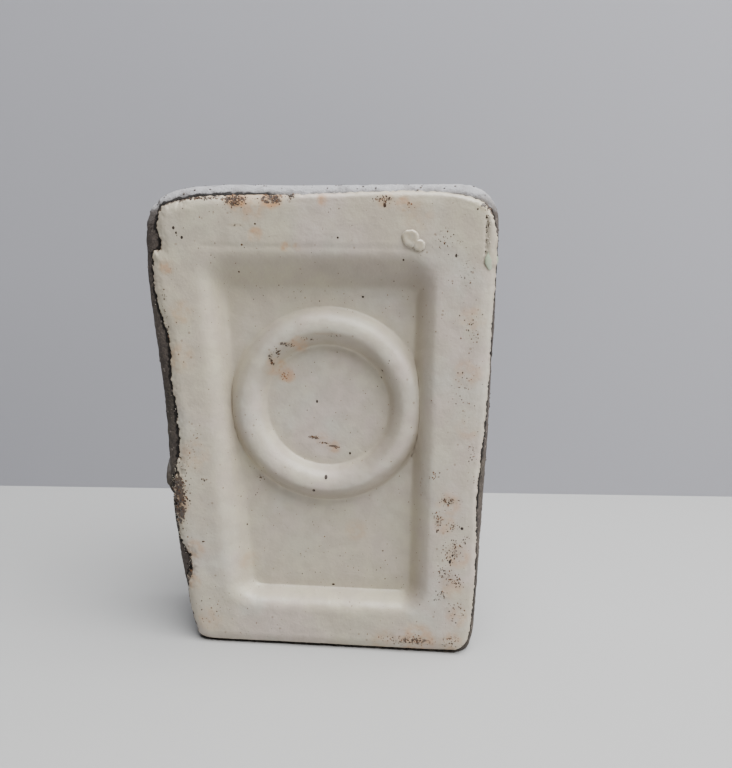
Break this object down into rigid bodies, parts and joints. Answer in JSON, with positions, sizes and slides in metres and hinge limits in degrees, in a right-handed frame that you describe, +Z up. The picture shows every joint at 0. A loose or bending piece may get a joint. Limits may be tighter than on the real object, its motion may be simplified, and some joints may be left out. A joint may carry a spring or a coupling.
{
  "type": "glazed relief block",
  "caption": "Upright stoneware block, glazed white on its front, with a sunk panel and a raised half-round ring; the dark clay body is bare on its sides, top, foot and back.",
  "frame": {"origin": "middle of the foot: the centre of the bounding box in X and Y, on the surface the block stands on", "axes": "+Z up along the block's height, the glazed face looks along -Y, +X to the right as seen from the front"},
  "size_m": [0.1084, 0.0354, 0.151],
  "materials": {
    "clay": "bare coarse dark grey-brown stoneware, matt and pitted, a little dusty on the top edge",
    "white_glaze": "thick satin off-white glaze with fine dark and rust-coloured specks and a ragged edge",
    "cream_glaze": "glossy cream drop of glaze",
    "green_glaze": "glassy pale green run of glaze"
  },
  "bodies": {
    "root": {"stoneware_body": "clay", "face_glaze": "white_glaze", "glaze_bead_large": "cream_glaze", "glaze_bead_small": "cream_glaze", "glaze_run": "green_glaze", "clay_lump": "clay"}
  },
  "joints": []
}
